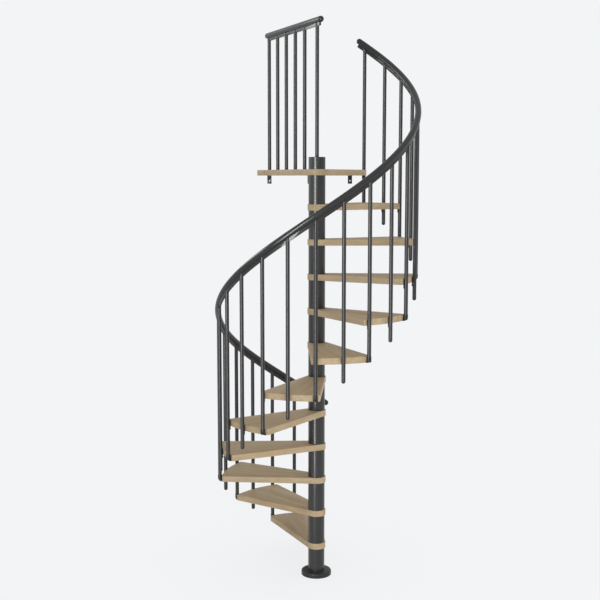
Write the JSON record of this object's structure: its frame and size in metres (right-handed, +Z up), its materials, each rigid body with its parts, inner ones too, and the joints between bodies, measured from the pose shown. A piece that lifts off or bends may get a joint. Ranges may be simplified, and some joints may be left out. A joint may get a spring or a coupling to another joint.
{
  "type": "spiral staircase",
  "caption": "Spiral staircase with wooden wedge treads on a dark steel column, round balusters, a helical handrail and a landing with its own guard rail.",
  "frame": {"origin": "centre of the base flange's underside, on the floor", "axes": "+Z up along the column; +Y towards the far edge of the landing, which meets the upper floor; +X to the right of it seen from the stair's front"},
  "size_m": [1.2784, 1.3893, 3.527],
  "materials": {
    "column_steel": "satin anthracite powder coat",
    "oak": "fine straight grain, matt clear lacquer",
    "rail_finish": "satin anthracite powder coat",
    "baluster_steel": "satin anthracite powder coat",
    "bracket_steel": "matt anthracite powder coat"
  },
  "bodies": {
    "root": {"base_flange": "column_steel", "center_tube": "column_steel", "spacer_01": "column_steel", "spacer_02": "column_steel", "spacer_03": "column_steel", "spacer_04": "column_steel", "spacer_05": "column_steel", "spacer_06": "column_steel", "spacer_07": "column_steel", "spacer_08": "column_steel", "spacer_09": "column_steel", "spacer_10": "column_steel", "spacer_11": "column_steel", "spacer_12": "column_steel", "column_top": "column_steel", "tread_01": "oak", "tread_02": "oak", "tread_03": "oak", "tread_04": "oak", "tread_05": "oak", "tread_06": "oak", "tread_07": "oak", "tread_08": "oak", "tread_09": "oak", "tread_10": "oak", "tread_11": "oak", "landing": "oak", "handrail": "rail_finish", "guard_rail": "rail_finish", "rail_end_caps": "rail_finish", "corner_balusters": "baluster_steel", "middle_balusters": "baluster_steel", "guard_balusters": "baluster_steel", "corner_clips": "bracket_steel", "corner_feet": "bracket_steel", "middle_clips": "bracket_steel", "landing_brackets": "bracket_steel"}
  },
  "joints": []
}
